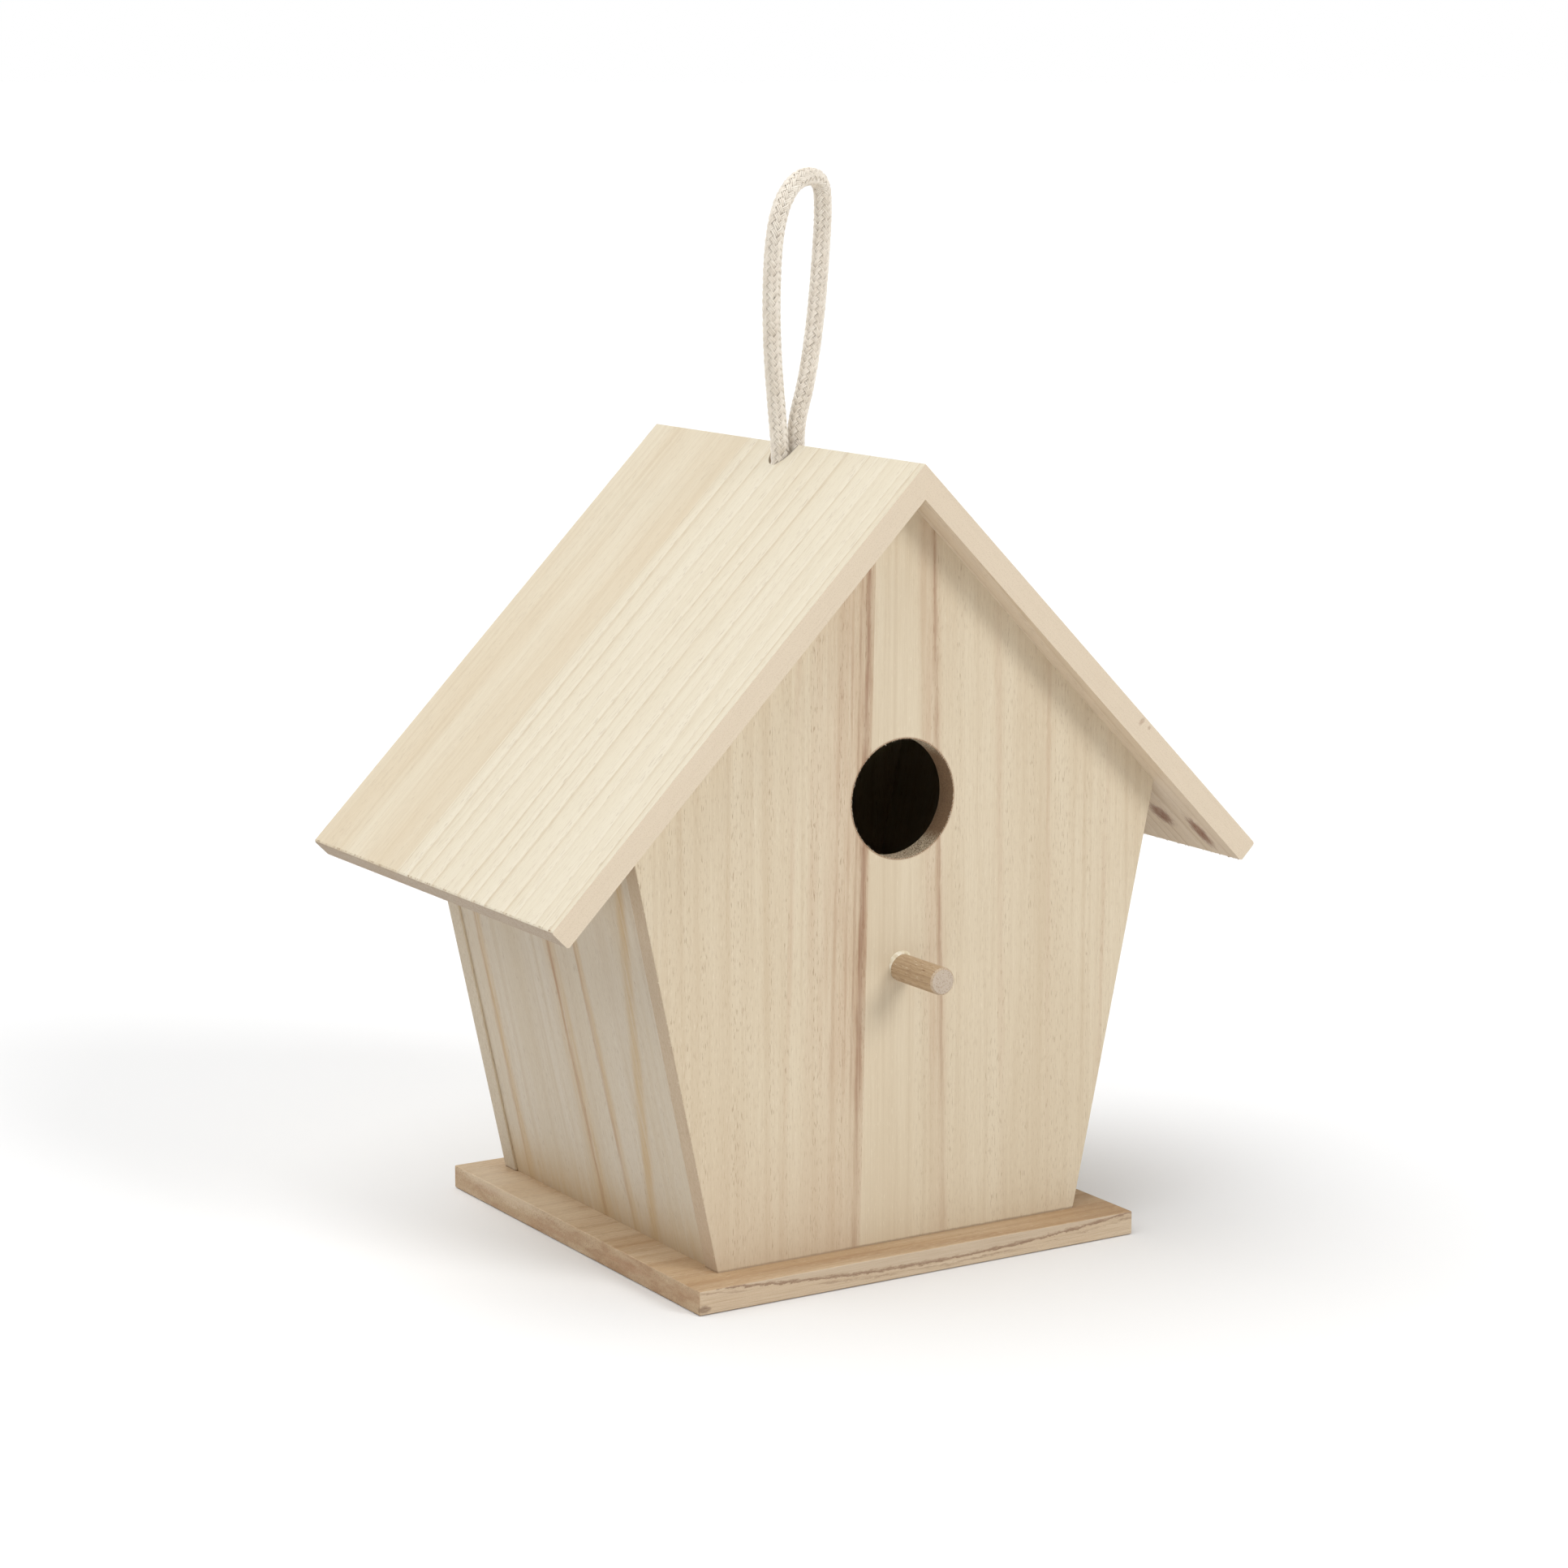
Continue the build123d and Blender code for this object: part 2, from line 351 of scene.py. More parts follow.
def braid(name, line, material, step=0.0006, sides=6, seed=1):
    """A braided cord round the line: each flat bundle of yarns passes over two bundles, then under two."""
    lay = BUNDLES_EACH_WAY * BUNDLE_PITCH
    dice = random.Random(seed)
    stations, spacing = stations_on(line, step)
    points = []
    faces = []
    from_middle = []
    yarn_tones = []
    for direction in (1, -1):
        for bundle in range(BUNDLES_EACH_WAY):
            start = 2 * math.pi * bundle / BUNDLES_EACH_WAY + dice.uniform(-0.05, 0.05)
            centres = []
            for number, (place, forward, side, third) in enumerate(stations):
                along = number * spacing
                angle = start + direction * 2 * math.pi * along / lay
                out = side * math.cos(angle) + third * math.sin(angle)
                lift = direction * WEAVE * math.cos(BUNDLES_EACH_WAY / 2 * angle - math.pi / 4)
                centres.append((place + out * (BUNDLE_FROM_MIDDLE + lift), out))
            for beside in (-1, 0, 1):
                fat = dice.uniform(0.92, 1.08)
                drift = dice.uniform(0, 100)
                tone = dice.uniform(0, 1)
                rings = []
                for number, (centre, out) in enumerate(centres):
                    following = centres[min(number + 1, len(centres) - 1)][0]
                    ahead = (following - centres[max(number - 1, 0)][0]).normalized()
                    upright = (out - ahead * out.dot(ahead)).normalized()
                    wide = ahead.cross(upright)
                    loose = noise.noise((number * spacing * 500, drift, seed)) * YARN_LOOSENESS
                    sideways = wide * (beside * YARN_SPACING + loose)
                    outwards = upright * (loose - abs(beside) * BUNDLE_ARCH)
                    ring = []
                    for corner in range(sides):
                        round_it = 2 * math.pi * corner / sides
                        ring.append(
                            centre + sideways + outwards
                            + wide * (YARN_RADIUS * fat * math.cos(round_it))
                            + upright * (YARN_RADIUS * fat * math.sin(round_it))
                        )
                    rings.append(ring)
                    place = stations[number][0]
                    from_middle.extend((corner - place).length / MM for corner in ring)
                    yarn_tones.extend([tone] * sides)
                join_into(points, faces, skin(rings, sides))
    core = []
    corners = [2 * math.pi * corner / CORE_SIDES for corner in range(CORE_SIDES)]
    for place, forward, side, third in stations[::4] + stations[-1:]:
        core.append([place + (side * math.cos(a) + third * math.sin(a)) * CORE_RADIUS for a in corners])
    join_into(points, faces, skin(core, CORE_SIDES))
    braided = mesh_piece(name, points, faces, material)
    in_core = [0.0] * (CORE_SIDES * len(core))
    # How far each yarn corner lies from the cord's middle; the cotton material paints shade where this is
    # small, in the gaps between yarns.
    mark(braided, "from_middle", from_middle + in_core)
    mark(braided, "yarn_tone", yarn_tones + in_core)
    return braided


def fuzz(name, line, material, count, reach, seed):
    """Loose cotton fibres that stand off the braid here and there."""
    dice = random.Random(seed)
    stations, spacing = stations_on(line, 0.001)
    points = []
    faces = []
    for _ in range(count):
        place, forward, side, third = dice.choice(stations[6:-6])
        angle = dice.uniform(0, 2 * math.pi)
        out = side * math.cos(angle) + third * math.sin(angle)
        around = forward.cross(out)
        lean = forward * dice.uniform(-1.2, 1.2) + around * dice.uniform(-1.2, 1.2)
        length = dice.uniform(0.4, 1.0) * reach
        curl = dice.uniform(-0.8, 0.8)
        thick = dice.uniform(0.016, 0.028) * MM
        rings = []
        for joint in range(5):
            share = joint / 4
            bend = out * (share * (1 - 0.55 * share)) + lean * (share * 0.55)
            bend = bend + around * (curl * share * share)
            centre = place + out * HAIR_ROOT + bend * length
            slim = thick * (1 - 0.7 * share)
            rings.append([
                centre + (forward * math.cos(a) + around * math.sin(a)) * slim
                for a in THREE_SIDES
            ])
        join_into(points, faces, skin(rings, 3))
    hairs = mesh_piece(name, points, faces, material)
    mark(hairs, "from_middle", [3.0] * len(points))
    mark(hairs, "yarn_tone", [0.8] * len(points))
    return hairs


COTTON = tint(225, 215, 200)
# The deep cotton colour serves both for the darker fibres and for the painted shade in the gaps between
# yarns.
COTTON_DEEP_AND_GAP_SHADE = tint(136, 121, 104)
COTTON_PALE = tint(242, 235, 223)
cotton_cord, cotton_surface, cotton = finish("cotton_cord", roughness=0.85, Sheen_Weight=0.25)
cotton_place = cotton.node("ShaderNodeTexCoord", out=3).stretched(1000, 1000, 1000)
cotton_shade = cotton_place.mottle(0.16, 3.0).rise(0.35, 0.7)
cotton_fibre = cotton_place.mottle(5.0, 3.0, 0.7)
cotton_fleck = cotton_place.mottle(1.3, 2.0).rise(0.62, 0.75)
# Painted shade: yarn surfaces close to the cord's middle, down in the gaps between yarns, are darkened.
cotton_painted_gap_shade = cotton.node("ShaderNodeAttribute", {"attribute_name": "from_middle"}, out=2).rise(2.55, 1.95)
yarn_tone = cotton.node("ShaderNodeAttribute", {"attribute_name": "yarn_tone"}, out=2)
cotton_colour = (cotton_shade * 0.3 + yarn_tone * 0.6).blend(COTTON, COTTON_PALE)
cotton_colour = (cotton_fibre.rise(0.5, 0.25) * 0.5 + cotton_fleck * 0.15).blend(cotton_colour, COTTON_DEEP_AND_GAP_SHADE)
# Lays the painted shade into the gaps between yarns, in the deep cotton colour.
cotton_colour = (cotton_painted_gap_shade * 0.75).blend(cotton_colour, COTTON_DEEP_AND_GAP_SHADE)
feed(cotton_surface, cotton_colour, cotton_fibre.rise(0.2, 0.8, 0.2) + 0.72, cotton_fibre, 0.00012, 0.5)

loop_line = line_along("loop_line", loop_route)
loop = braid("braided_loop", loop_line, cotton_cord, seed=3)
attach(loop, "root")
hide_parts("hanging_cord")
loop_fuzz = fuzz("loop_fuzz", loop_line, cotton_cord, 620, 2.3 * MM, 5)
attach(loop_fuzz, "root")

# ---------------------------------------------------------------- knot
# Under the ridge the two ends of the cord turn once round each other and are pulled tight into a
# knot too thick for the hole. Both cut ends hang down inside.
knot_middle = Vector((0.0, loop_route[0][1], 0.0))
first_end = [
    (-2.85, 0.0, 219.0),
    (-3.0, -0.6, 216.2),
    (-3.4, -3.2, 213.6),
    (0.4, -5.4, 212.2),
    (4.5, -2.2, 210.6),
    (3.9, 2.6, 208.6),
    (-0.4, 4.2, 207.0),
    (-4.3, 1.4, 204.6),
    (-4.8, -1.2, 200.5),
    (-6.2, -1.6, 195.5),
    (-7.4, -1.8, 190.2),
]
knot_lines = []
for number, half_turn in enumerate((1, -1)):
    turned = [
        knot_middle + Vector((half_turn * x, half_turn * y, z)) * MM
        for x, y, z in first_end
    ]
    knot_lines.append(line_along("end_line", turned))
knot_parts = [
    braid("knot_end", line, cotton_cord, step=0.0011, sides=5, seed=11 + number)
    for number, line in enumerate(knot_lines)
]
knot = knot_parts[0]
with bpy.context.temp_override(active_object=knot, selected_editable_objects=knot_parts):
    bpy.ops.object.join()
knot.name = "knot_under_ridge"
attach(knot, "root")
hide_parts("cord_knot")

# ---------------------------------------------------------------- front panel
# Two staves of pale paulownia, planed and sanded, glued edge to edge on a line that leans a little,
# with a brown streak along it. The round hole is cut with a hole saw, and the panel is glued to the
# side panels.
FRONT_LEAN = 0.0233
WALL_FLARE = 0.2165
FOOT_HALF_WIDTH = 61.5
BOARD = 7.0
PORE_BROWN = tint(140, 106, 74)
SANDED_PALE = tint(232, 221, 200)
END_FLECK = tint(130, 100, 72)
EDGE_FIBRE = tint(150, 122, 92)
EDGE_FLECK = tint(164, 138, 108)
BORE_END_DARK = tint(104, 76, 50)
BORE_END_PALE = tint(228, 210, 180)
BORE_SIDE_DARK = tint(118, 86, 60)
BORE_SIDE_PALE = tint(156, 124, 92)


def plank(
    name,
    across,
    along,
    pale,
    deep,
    line_colour,
    ring=5.0,
    lean=0.3,
    lines=0.4,
    thin=0.25,
    sway=9.0,
    pores=0.5,
    patches=0.5,
    shift=0.0,
    streaks=(),
    stains=(),
    bore=None,
    end_colour=None,
    edge_colour=None,
    edge_vein=None,
    bright=None,
    smooth_strip=None,
    spots=(),
    figure=0.35,
    end_blotch=None,
    edge_grain=1.0,
    streaks_fade=None,
):
    """Planed wood seen from any side, in mm across, along the fibres and through the board.

    A streak is its place across, drift, half width, strength and colour. A stain is its axis, where it
    is clear, where it is full, strength and colour. A spot is its place, reach, strength and colour.
    """
    made, surface, start = finish(name, 0.62)
    through = across.cross(along)
    turned = Matrix((across, along, through)).to_euler()
    place = start.node("ShaderNodeTexCoord", out=3)
    grain = start.node(
        "ShaderNodeMapping",
        None,
        {"Vector": place, "Rotation": turned, "Scale": (1000.0, 1000.0, 1000.0)},
    )
    split = start.node("ShaderNodeSeparateXYZ", None, {0: grain})
    u = split
    v = Shade(split.tree, split.socket.node.outputs[1])
    w = Shade(split.tree, split.socket.node.outputs[2])
    bend = (grain.stretched(0.02, 0.006, 0.02).mottle(1.0, 1.0, 0.5, shift) - 0.5) * sway
    wobble = (grain.stretched(0.3, 0.045, 0.3).mottle(1.0, 1.0, 0.5, shift + 3) - 0.5) * 0.9
    swayed = u + w * lean + bend + wobble
    spacing = grain.stretched(0.07, 0.002, 0.07).mottle(1.0, 0.0, 0.5, shift + 2)
    rings = swayed / ring + spacing * 2.4 + (40.3 + shift)
    number = rings.maths("FLOOR", rings)
    inside = rings - number
    strong = start.node("ShaderNodeTexWhiteNoise", {"noise_dimensions": "1D"}, {"W": number}, out=0)
    late = inside.rise(1 - 2.2 * thin, 1 - 0.6 * thin) * inside.rise(1.0, 1 - 0.5 * thin)
    late = late * strong.rise(-0.3, 0.75)
    early = inside.rise(0.5, 0.0)
    pore_noise = grain.stretched(3.3, 0.36, 3.3).mottle(1.0, 1.5, 0.6, shift + 7)
    pore = pore_noise.rise(0.57, 0.66) * (early * 0.6 + 0.4)
    if smooth_strip:
        pore = pore * (u.rise(smooth_strip - 3.0, smooth_strip + 3.0) * 0.8 + 0.2)
    dust = pore_noise.rise(0.38, 0.28)
    uneven = grain.stretched(0.5, 0.03, 0.5).mottle(1.0, 2.0, 0.6, shift + 15)
    late = late * (pore_noise.rise(0.35, 0.6) * 0.5 + 0.5) * (uneven.rise(0.3, 0.6) * 0.7 + 0.3)
    fibre = grain.stretched(3.6, 0.05, 3.6).mottle(1.0, 3.0, 0.65, shift + 9)
    patch = grain.stretched(0.05, 0.009, 0.05).mottle(1.0, 2.0, 0.5, shift + 12).rise(0.32, 0.68)
    colour = (patch * patches).blend(pale, deep)
    if bright:
        colour = (early * 0.3).blend(colour, bright)
    colour = (inside.rise(0.45, 1.0) * strong * lines * 0.25).blend(colour, line_colour)
    colour = (late * lines).blend(colour, line_colour)
    bands = grain.stretched(0.42, 0.006, 0.42).mottle(1.0, 3.0, 0.6, shift + 19).rise(0.46, 0.7)
    colour = (bands * figure).blend(colour, line_colour)
    colour = (fibre.rise(0.4, 0.66) * (figure * 0.5 + 0.3)).blend(colour, deep)
    colour = (dust * pores * 0.7).blend(colour, SANDED_PALE)
    threads = grain.stretched(2.1, 0.03, 2.1).mottle(1.0, 2.0, 0.6, shift + 16).rise(0.3, 0.66)
    soft_edge = (grain.stretched(0.6, 0.1, 0.6).mottle(1.0, 3.0, 0.65, shift + 17) - 0.5) * 2.8
    for centre, drift, half_width, strength, streak_colour in streaks:
        aside = abs(u - v * drift + soft_edge * min(1.0, half_width * 0.5 + 0.2) - centre)
        band = aside.rise(half_width * 1.2, half_width * 0.2) * (uneven.rise(0.3, 0.66) * 0.6 + 0.4)
        band = band * (threads * 0.35 + 0.65)
        if streaks_fade:
            band = band * (v.rise(*streaks_fade) * 0.62 + 0.38)
        colour = (band * strength).blend(colour, streak_colour)
    colour = (pore * pores).blend(colour, PORE_BROWN)
    facing = start.node("ShaderNodeNewGeometry", out=1)
    end_on = start.node(
        "ShaderNodeVectorMath", {"operation": "DOT_PRODUCT"}, {0: facing, 1: along}, out=1
    )
    end_face = abs(end_on).rise(0.6, 0.85)
    speckle = grain.stretched(2.6, 2.6, 2.6).mottle(1.0, 2.0, 0.7, shift + 21).rise(0.5, 0.66)
    colour = (end_face * (uneven * 0.3 + 0.62)).blend(colour, end_colour or deep)
    if end_blotch:
        blotch = grain.stretched(0.055, 0.3, 0.2).mottle(1.0, 3.0, 0.65, shift + 23)
        colour = (end_face * blotch.rise(0.44, 0.66) * 0.6).blend(colour, end_blotch)
        colour = (end_face * blotch.rise(0.42, 0.3) * 0.6).blend(colour, pale)
    colour = (end_face * speckle * 0.5).blend(colour, END_FLECK)
    edge_on = start.node(
        "ShaderNodeVectorMath", {"operation": "DOT_PRODUCT"}, {0: facing, 1: across}, out=1
    )
    edge_face = abs(edge_on).rise(0.6, 0.85)
    if edge_colour:
        colour = (edge_face * (uneven * 0.5 * edge_grain + 1.0 - 0.5 * edge_grain)).blend(colour, edge_colour)
        colour = (edge_face * fibre.rise(0.45, 0.7) * 0.4 * edge_grain).blend(colour, EDGE_FIBRE)
        colour = (edge_face * speckle * 0.22).blend(colour, EDGE_FLECK)
    if edge_vein:
        lowest, lowest_at, curve, half_width, strength, vein_colour, above_colour = edge_vein
        bowed = (v - lowest_at) * (v - lowest_at) * curve
        ragged = (grain.stretched(1.0, 0.3, 1.0).mottle(1.0, 5.0, 0.8, shift + 33) - 0.5) * 3.6
        off_vein = w + lowest + bowed + ragged
        above = off_vein.rise(0.2, -1.6)
        colour = (edge_face * above * 0.4).blend(colour, above_colour)
        vein = off_vein.rise(-half_width, -0.1) * off_vein.rise(half_width * 0.3, 0.0)
        second = (off_vein - 1.5).rise(-0.6, -0.1) * (off_vein - 1.5).rise(0.3, 0.0) * uneven.rise(0.45, 0.6)
        colour = (edge_face * (vein + second * 0.6) * strength).blend(colour, vein_colour)
    height = fibre * 0.5 - pore * 0.9 - late * 0.08 - end_face * speckle * 0.8
    axes = (u, v, w)
    for axis, clear, full, strength, stain_colour in stains:
        mask = (axes[axis] + (uneven - 0.5) * abs(full - clear) * 0.8).rise(clear, full)
        colour = (mask * strength).blend(colour, stain_colour)
    for spot, reach, strength, spot_colour in spots:
        middle = [Vector(spot).dot(axis) / far for axis, far in zip((across, along, through), reach)]
        away = start.node(
            "ShaderNodeVectorMath",
            {"operation": "DISTANCE"},
            {0: grain.stretched(*[1.0 / far for far in reach]), 1: middle},
            out=1,
        )
        torn = grain.stretched(1.6, 0.5, 1.6).mottle(1.0, 3.0, 0.7, shift + 41)
        blot = (away + (torn - 0.5) * 1.7).rise(1.15, 0.45)
        colour = (blot * (torn.rise(0.3, 0.7) * 0.4 + 0.6) * strength).blend(colour, spot_colour)
        height = height - blot * 0.6
    if bore:
        bore_x, bore_z, bore_radius = bore
        from_middle = start.node(
            "ShaderNodeVectorMath",
            {"operation": "DISTANCE"},
            {0: grain.stretched(1, 1, 0), 1: (bore_x, bore_z, 0)},
            out=1,
        )
        in_bore = from_middle.rise(bore_radius + 0.6, bore_radius + 0.1)
        sawn = grain.stretched(2.4, 2.0, 2.4).mottle(1.0, 3.0, 0.75, shift + 25)
        sawn_ends = sawn.rise(0.4, 0.58).blend(BORE_END_DARK, BORE_END_PALE)
        sawn_sides = sawn.rise(0.3, 0.7).blend(BORE_SIDE_DARK, BORE_SIDE_PALE)
        colour = (in_bore * 0.92).blend(colour, end_face.blend(sawn_sides, sawn_ends))
        height = height + in_bore * sawn * 3.0
    feed(surface, colour, fibre.rise(0.2, 0.8, 0.16) + 0.56, height, 0.00008, 0.55)
    return made


def dress(node, material):
    """Gives a board of the frame its finish."""
    board = frame["nodes"][node]
    board.data.materials.clear()
    board.data.materials.append(material)


X = Vector((1.0, 0.0, 0.0))
Y = Vector((0.0, 1.0, 0.0))
Z = Vector((0.0, 0.0, 1.0))
WALL_PALE = tint(212, 198, 173)
WALL_DEEP = tint(199, 181, 153)
WALL_LINE = tint(186, 164, 134)
WALL_EDGE = tint(182, 161, 135)
STREAK_BROWN = tint(166, 134, 106)
STREAK_DARK = tint(140, 102, 76)
STREAK_TAN = tint(188, 161, 134)
FOOT_BROWN = tint(132, 106, 78)
entrance_mount = next(m for m in frame["record"]["mounts"] if m["name"] == "entrance_hole")
hole_height = round(entrance_mount["pos_m"][2] / MM, 3)
hole_radius = entrance_mount["dims"]["r_mm"]
entrance = (0.0, hole_height, hole_radius)
foot_line = (1, 7.75, 7.25, 0.6, FOOT_BROWN)
STREAKS_FADE = (38.0, 72.0)
left_stave_wood = plank(
    "front_left_stave_wood", X, Z, WALL_PALE, WALL_DEEP, WALL_LINE,
    ring=8.0, lines=0.3, pores=0.52, shift=1.0, bore=entrance, edge_colour=WALL_EDGE,
    streaks_fade=STREAKS_FADE,
    stains=[foot_line, (1, 60.0, 10.0, 0.25, STREAK_TAN)],
    streaks=[
        (-20.5, FRONT_LEAN, 7.0, 0.65, STREAK_TAN),
        (-27.5, FRONT_LEAN, 5.0, 0.4, STREAK_TAN),
        (-15.9, FRONT_LEAN, 2.7, 0.9, STREAK_BROWN),
        (-16.2, FRONT_LEAN, 1.1, 0.75, STREAK_DARK),
        (-18.6, FRONT_LEAN, 0.5, 0.4, STREAK_DARK),
        (-21.2, FRONT_LEAN, 0.6, 0.4, STREAK_BROWN),
        (-25.4, FRONT_LEAN * 1.1, 0.8, 0.35, STREAK_BROWN),
        (-33.0, FRONT_LEAN, 2.2, 0.4, STREAK_TAN),
        (-41.0, FRONT_LEAN * 1.5, 1.2, 0.4, STREAK_TAN),
    ],
)
right_stave_wood = plank(
    "front_right_stave_wood", X, Z, WALL_PALE, WALL_DEEP, WALL_LINE,
    ring=11.0, lines=0.25, pores=0.4, shift=2.0, bore=entrance, smooth_strip=5.0,
    streaks_fade=STREAKS_FADE,
    stains=[foot_line],
    streaks=[
        (13.4, -0.0241, 4.2, 0.6, STREAK_TAN),
        (15.0, -0.0241, 1.3, 0.54, STREAK_BROWN),
        (15.3, -0.0241, 0.6, 0.34, STREAK_DARK),
        (36.0, -0.02, 1.4, 0.4, STREAK_TAN),
        (52.0, -0.01, 1.0, 0.4, STREAK_TAN),
        (69.0, 0.02, 1.0, 0.35, STREAK_TAN),
    ],
)
dress("front_panel_left_stave", left_stave_wood)
dress("front_panel_right_stave", right_stave_wood)


def splinters(name, roots, material, seed):
    """Torn wood fibres as thin slivers, each from its place, along its lean, so long and so thick."""
    dice = random.Random(seed)
    points = []
    faces = []
    for place, lean, length, thick in roots:
        forward = lean.normalized()
        side = forward.orthogonal().normalized()
        third = forward.cross(side)
        bend = side * dice.uniform(-0.3, 0.3) + third * dice.uniform(-0.3, 0.3)
        rings = []
        for joint in range(4):
            share = joint / 3
            centre = place - forward * 0.25 * MM + (forward * share + bend * share * share) * length
            slim = thick * (1 - 0.85 * share)
            rings.append([
                centre + (side * math.cos(a) + third * math.sin(a)) * slim
                for a in THREE_SIDES
            ])
        join_into(points, faces, skin(rings, 3))
    return mesh_piece(name, points, faces, material, smooth=False)


def fibre_finish(name, pale, deep):
    """The look of torn fibres: the bare wood, a little mottled."""
    made, surface, start = finish(name, 0.75)
    mottled = start.node("ShaderNodeTexCoord", out=3).stretched(1000, 1000, 1000).mottle(1.2, 2.0, 0.6)
    feed(surface, mottled.rise(0.3, 0.7).blend(pale, deep), mottled.rise(0.2, 0.8, 0.2) + 0.65)
    return made


front_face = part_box("front_panel_left_stave")[0].y
pale_fibres = fibre_finish("torn_pale_fibres", tint(228, 218, 198), tint(206, 190, 164))
RIM_FIBRES = 130
EDGE_FIBRES = 58
EDGE_HEIGHT = 124.0
rim_dice = random.Random(21)
rim_roots = []
for number in range(RIM_FIBRES):
    angle = 2 * math.pi * (number + rim_dice.uniform(0, 1)) / RIM_FIBRES
    outward = Vector((math.cos(angle), 0.0, math.sin(angle)))
    rim = Vector((0.0, front_face, hole_height * MM)) + outward * (hole_radius * MM)
    up_or_down = rim_dice.choice((-1, 1)) * (1 - abs(outward.z)) * 1.6
    lean = outward * -rim_dice.uniform(0.3, 1.0) + Z * up_or_down + Y * rim_dice.uniform(-0.5, 0.7)
    rim_roots.append((rim, lean, rim_dice.uniform(0.25, 0.85) * MM, rim_dice.uniform(0.05, 0.11) * MM))
rim_fibres = splinters("hole_rim_fibres", rim_roots, pale_fibres, 22)
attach(rim_fibres, "root")
edge_dice = random.Random(23)
edge_roots = []
for number in range(EDGE_FIBRES):
    above_foot = edge_dice.uniform(3.0, EDGE_HEIGHT)
    corner_x = -FOOT_HALF_WIDTH - WALL_FLARE * above_foot
    corner = Vector((corner_x, front_face / MM, BOARD + above_foot)) * MM
    lean = Vector((-1.0, edge_dice.uniform(-0.6, 0.3), edge_dice.uniform(-0.5, 0.9)))
    edge_roots.append((corner, lean, edge_dice.uniform(0.4, 1.2) * MM, edge_dice.uniform(0.03, 0.07) * MM))
edge_fibres = splinters("front_edge_fibres", edge_roots, pale_fibres, 24)
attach(edge_fibres, "root")

# ---------------------------------------------------------------- back panel
# The back repeats the front without the hole and the perch, from two staves of the same wood with
# the glue line on the other side of the middle.
back_left_wood = plank(
    "back_left_stave_wood", X, Z, WALL_PALE, WALL_DEEP, WALL_LINE,
    ring=9.0, lines=0.3, pores=0.4, shift=31.0, edge_colour=tint(190, 178, 158),
    stains=[foot_line],
    streaks=[(-20.0, 0.015, 2.2, 0.35, STREAK_TAN), (-44.0, -0.02, 1.0, 0.4, STREAK_BROWN)],
)
back_right_wood = plank(
    "back_right_stave_wood", X, Z, tint(208, 192, 165), WALL_DEEP, WALL_LINE,
    ring=6.0, lines=0.4, pores=0.45, shift=37.0, edge_colour=WALL_EDGE,
    stains=[foot_line],
    streaks=[(36.0, 0.01, 3.0, 0.4, STREAK_TAN), (37.0, 0.01, 0.8, 0.45, STREAK_BROWN)],
)
dress("back_panel_left_stave", back_left_wood)
dress("back_panel_right_stave", back_right_wood)

# ---------------------------------------------------------------- side panels
# Each side is a single paulownia board, glued in leaning outwards between the front and the back. It
# is a little greyer than they are, with ochre and reddish streaks and a tan stain at the foot.
side_lean = math.atan(WALL_FLARE)
left_up = Vector((-math.sin(side_lean), 0.0, math.cos(side_lean)))
right_up = Vector((math.sin(side_lean), 0.0, math.cos(side_lean)))
SIDE_PALE = tint(199, 188, 171)
SIDE_DEEP = tint(192, 177, 152)
SIDE_LINE = tint(178, 157, 128)
OCHRE = tint(186, 158, 116)
RED_BROWN = tint(160, 122, 92)
side_streaks = [
    (49.3, -0.004, 3.0, 0.85, OCHRE),
    (50.6, -0.004, 0.8, 0.45, RED_BROWN),
    (2.0, 0.01, 4.6, 0.8, OCHRE),
    (2.4, 0.012, 1.3, 0.8, RED_BROWN),
    (-15.3, 0.02, 1.1, 0.7, RED_BROWN),
    (-17.0, 0.024, 2.2, 0.6, OCHRE),
    (-22.0, -0.2, 3.4, 0.95, OCHRE),
    (30.0, 0.0, 9.0, 0.3, SIDE_DEEP),
    (-40.0, 0.01, 6.0, 0.3, SIDE_DEEP),
]
left_side_wood = plank(
    "left_side_wood", Y, left_up, SIDE_PALE, SIDE_DEEP, SIDE_LINE,
    ring=7.0, lines=0.3, pores=0.4, shift=3.0, streaks=side_streaks,
    stains=[
        (1, 42.0, 12.0, 0.7, OCHRE),
        (1, 22.0, 8.0, 0.4, RED_BROWN),
        (1, 8.4, 7.6, 0.6, FOOT_BROWN),
    ],
)
right_side_wood = plank(
    "right_side_wood", Y, right_up, SIDE_PALE, SIDE_DEEP, SIDE_LINE,
    ring=8.0, lines=0.35, pores=0.42, shift=43.0,
    streaks=[
        (-20.0, 0.02, 2.2, 0.45, OCHRE),
        (-19.0, 0.02, 0.7, 0.5, RED_BROWN),
        (31.0, -0.01, 1.4, 0.4, OCHRE),
    ],
)
dress("side_panel_left", left_side_wood)
dress("side_panel_right", right_side_wood)

# ---------------------------------------------------------------- roof
# Two paulownia boards meet in a glued mitre at the ridge. Each has a front stave with clear growth
# lines, creamy on the left and rosier on the right, glued to a smoother tan rear stave. The grain
# runs down the slope to the eaves, where the saw has left torn fibres.
pitch = math.radians(45.12)
down_left = Vector((-math.cos(pitch), 0.0, -math.sin(pitch)))
down_right = Vector((math.cos(pitch), 0.0, -math.sin(pitch)))
ROOF_CREAM = tint(216, 207, 186)
ROOF_CREAM_DEEP = tint(211, 199, 175)
ROOF_ROSY = tint(217, 201, 178)
ROOF_ROSY_DEEP = tint(211, 192, 168)
ROOF_ROSY_WHITE = tint(226, 213, 195)
ROOF_LINE = tint(176, 150, 112)
ROOF_TAN = tint(215, 205, 183)
ROOF_TAN_DEEP = tint(206, 190, 163)
ROOF_END = tint(152, 132, 111)
ROOF_SAWN = tint(212, 196, 173)
ROOF_WHITE = tint(226, 219, 203)
KNOT_BROWN = tint(122, 68, 28)
